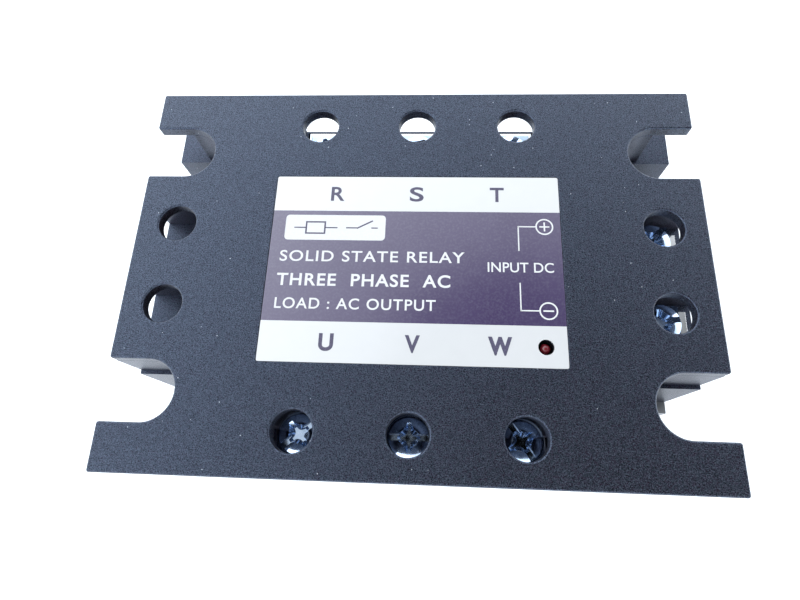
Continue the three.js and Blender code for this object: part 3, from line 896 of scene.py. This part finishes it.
def polarity_sign(sign, y, line_end_y):
    """A circled + or -, with the bracket line that leads from it to the input's words."""
    x = SIGN_X
    line_x = SIGN_LINE_X
    line = 0.22
    radius = 1.6
    stroke = 0.13
    arm = 0.9
    parts = [
        [ring_points(x, y, radius), ring_points(x, y, radius - 2 * stroke)],
        [bar_points(x - arm, y - stroke, x + arm, y + stroke)],
        [bar_points(line_x - line / 2, y - line / 2, x - radius, y + line / 2)],
        [bar_points(line_x - line / 2, min(y, line_end_y), line_x + line / 2, max(y, line_end_y))],
    ]
    if sign == "+":
        parts.append([bar_points(x - stroke, y - arm, x + stroke, y - stroke)])
        parts.append([bar_points(x - stroke, y + stroke, x + stroke, y + arm)])
    return [outline_mesh("sign", splines, 2 * PRINT_LIFT * MM) for splines in parts]


def switch_symbol():
    """A generic relay symbol: a coil box with its two leads, beside a make contact."""
    half_stroke = 0.12
    y = SYMBOL_Y
    lead_ends = [(-22.3, -20.2), (-16.4, -14.2), (-12.6, -10.6), (-7.9, -6.7)]
    bars = [bar_points(left, y - half_stroke, right, y + half_stroke) for left, right in lead_ends]
    arm = [(-10.7, y), (-10.5, y - 0.2), (-7.6, y + 1.35), (-7.75, y + 1.6)]
    coil = [bar_points(-20.2, y - 1.3, -16.4, y + 1.3), bar_points(-19.9, y - 1.0, -16.7, y + 1.0)]
    groups = [[bar] for bar in bars] + [[arm], coil]
    return [outline_mesh("symbol", splines, 4 * PRINT_LIFT * MM) for splines in groups]


def add_print():
    """The label's generic words, its symbol and signs, and the terminal letters."""
    lines = [
        text_mesh("SOLID STATE RELAY", -24.4, 1.6, height=2.15, weight=0.03, width=33.6, spacing=1.12),
        text_mesh("THREE  PHASE  AC", -24.5, -3.0, height=2.35, weight=0.06, width=31.2, spacing=1.12),
        text_mesh("LOAD : AC OUTPUT", -24.4, -7.5, height=2.05, weight=0.03, width=28.6, spacing=1.12),
        text_mesh("INPUT DC", 13.3, -0.1, height=1.9, weight=0.02, width=11.6, spacing=1.02),
    ]
    badge = outline_mesh("badge", [rounded_box(*BADGE, BADGE_CORNER_RADIUS)], 2 * PRINT_LIFT * MM)
    signs = polarity_sign("+", 7.9, 3.1) + polarity_sign("-", -8.1, -3.0)
    print_piece("white_print", [badge, *lines, *signs], WHITE_INK)
    print_piece("mauve_print", terminal_letters() + switch_symbol(), MAUVE_INK)


def add_lamp():
    """A domed lamp on its stem, with the small flange that real lamps have at their foot."""
    radius = (LAMP_HIGH.x - LAMP_LOW.x) / 2 / MM
    foot = LAMP_LOW.z / MM
    top = LAMP_HIGH.z / MM
    stem = radius - 0.12
    flange = 0.5
    flange_slope = 0.1
    foot_radius = 0.55
    tip_radius = 0.06
    steps = 10
    profile = [(foot_radius, foot), (radius, foot), (radius, foot + flange)]
    profile += [(stem, foot + flange + flange_slope), (stem, top - radius)]
    for step in range(1, steps):
        angle = math.pi / 2 * step / steps
        profile.append((stem * math.cos(angle), top - radius + radius * math.sin(angle)))
    profile.append((tip_radius, top))
    rings = [
        [(LAMP_X + x * MM, LAMP_Y + y * MM, z * MM) for x, y in ring_points(0, 0, r, 32)]
        for r, z in profile
    ]
    lamp = object_of("lamp_body", grid_mesh("lamp_body", rings), LENS)
    for face in lamp.data.polygons:
        face.use_smooth = True
    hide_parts("indicator_lamp")
    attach(lamp, HOUSING)


add_print()
add_lamp()


# ---- Floor, sky and camera ------------------------------------------------------------------

def add_floor():
    """A pale floor that glows a little, as an overexposed one does."""
    mesh = bpy.data.meshes.new("floor")
    build = bmesh.new()
    bmesh.ops.create_grid(build, x_segments=1, y_segments=1, size=FLOOR_HALF_SIZE)
    build.to_mesh(mesh)
    build.free()
    glow = {"Emission_Strength": 0.5, "Emission_Color": (0.86, 0.93, 1.0, 1)}
    paint = Paint("floor", roughness=0.9, color=(0.9, 0.9, 0.9), **glow)
    floor = object_of("floor", mesh, paint.material)
    floor.location.z = -FLOOR_DROP


def add_camera():
    camera = bpy.data.cameras.new("camera")
    camera.lens = CAMERA_LENS
    camera.sensor_width = CAMERA_SENSOR
    camera.clip_start = 0.005
    holder = bpy.data.objects.new("camera", camera)
    holder.location = Vector((0, 0, COVER_HIGH.z)) + Vector(CAMERA_PLACE) * MM
    holder.rotation_euler = Euler([math.radians(angle) for angle in CAMERA_TURN])
    bpy.context.scene.collection.objects.link(holder)
    bpy.context.scene.camera = holder


def add_world():
    """Bright towards the horizon and dim overhead, with the dark round shape of someone there."""
    world = bpy.data.worlds.new("studio")
    bpy.context.scene.world = world
    world.use_nodes = True
    nodes = world.node_tree.nodes
    links = world.node_tree.links
    direction = nodes.new("ShaderNodeTexCoord").outputs["Generated"]

    def shade_towards(axis, stops):
        """Greys by how closely a direction follows an axis."""
        dot = nodes.new("ShaderNodeVectorMath")
        dot.operation = "DOT_PRODUCT"
        dot.inputs[1].default_value = Vector(axis).normalized()
        links.new(direction, dot.inputs[0])
        band = nodes.new("ShaderNodeValToRGB")
        while len(band.color_ramp.elements) < len(stops):
            band.color_ramp.elements.new(1)
        for element, (cosine, grey) in zip(band.color_ramp.elements, stops):
            element.position = cosine
            element.color = (*(tint * grey for tint in SKY_TINT), 1)
        links.new(dot.outputs["Value"], band.inputs["Fac"])
        return band.outputs["Color"]

    sky = shade_towards(SKY_AXIS, SKY_STOPS)
    figure = shade_towards(FIGURE_AXIS, FIGURE_STOPS)
    product = nodes.new("ShaderNodeVectorMath")
    product.operation = "MULTIPLY"
    links.new(sky, product.inputs[0])
    links.new(figure, product.inputs[1])
    links.new(product.outputs["Vector"], nodes["Background"].inputs["Color"])
    nodes["Background"].inputs["Strength"].default_value = SKY_STRENGTH


add_floor()
add_world()
add_camera()
bpy.context.scene.view_settings.view_transform = "Standard"
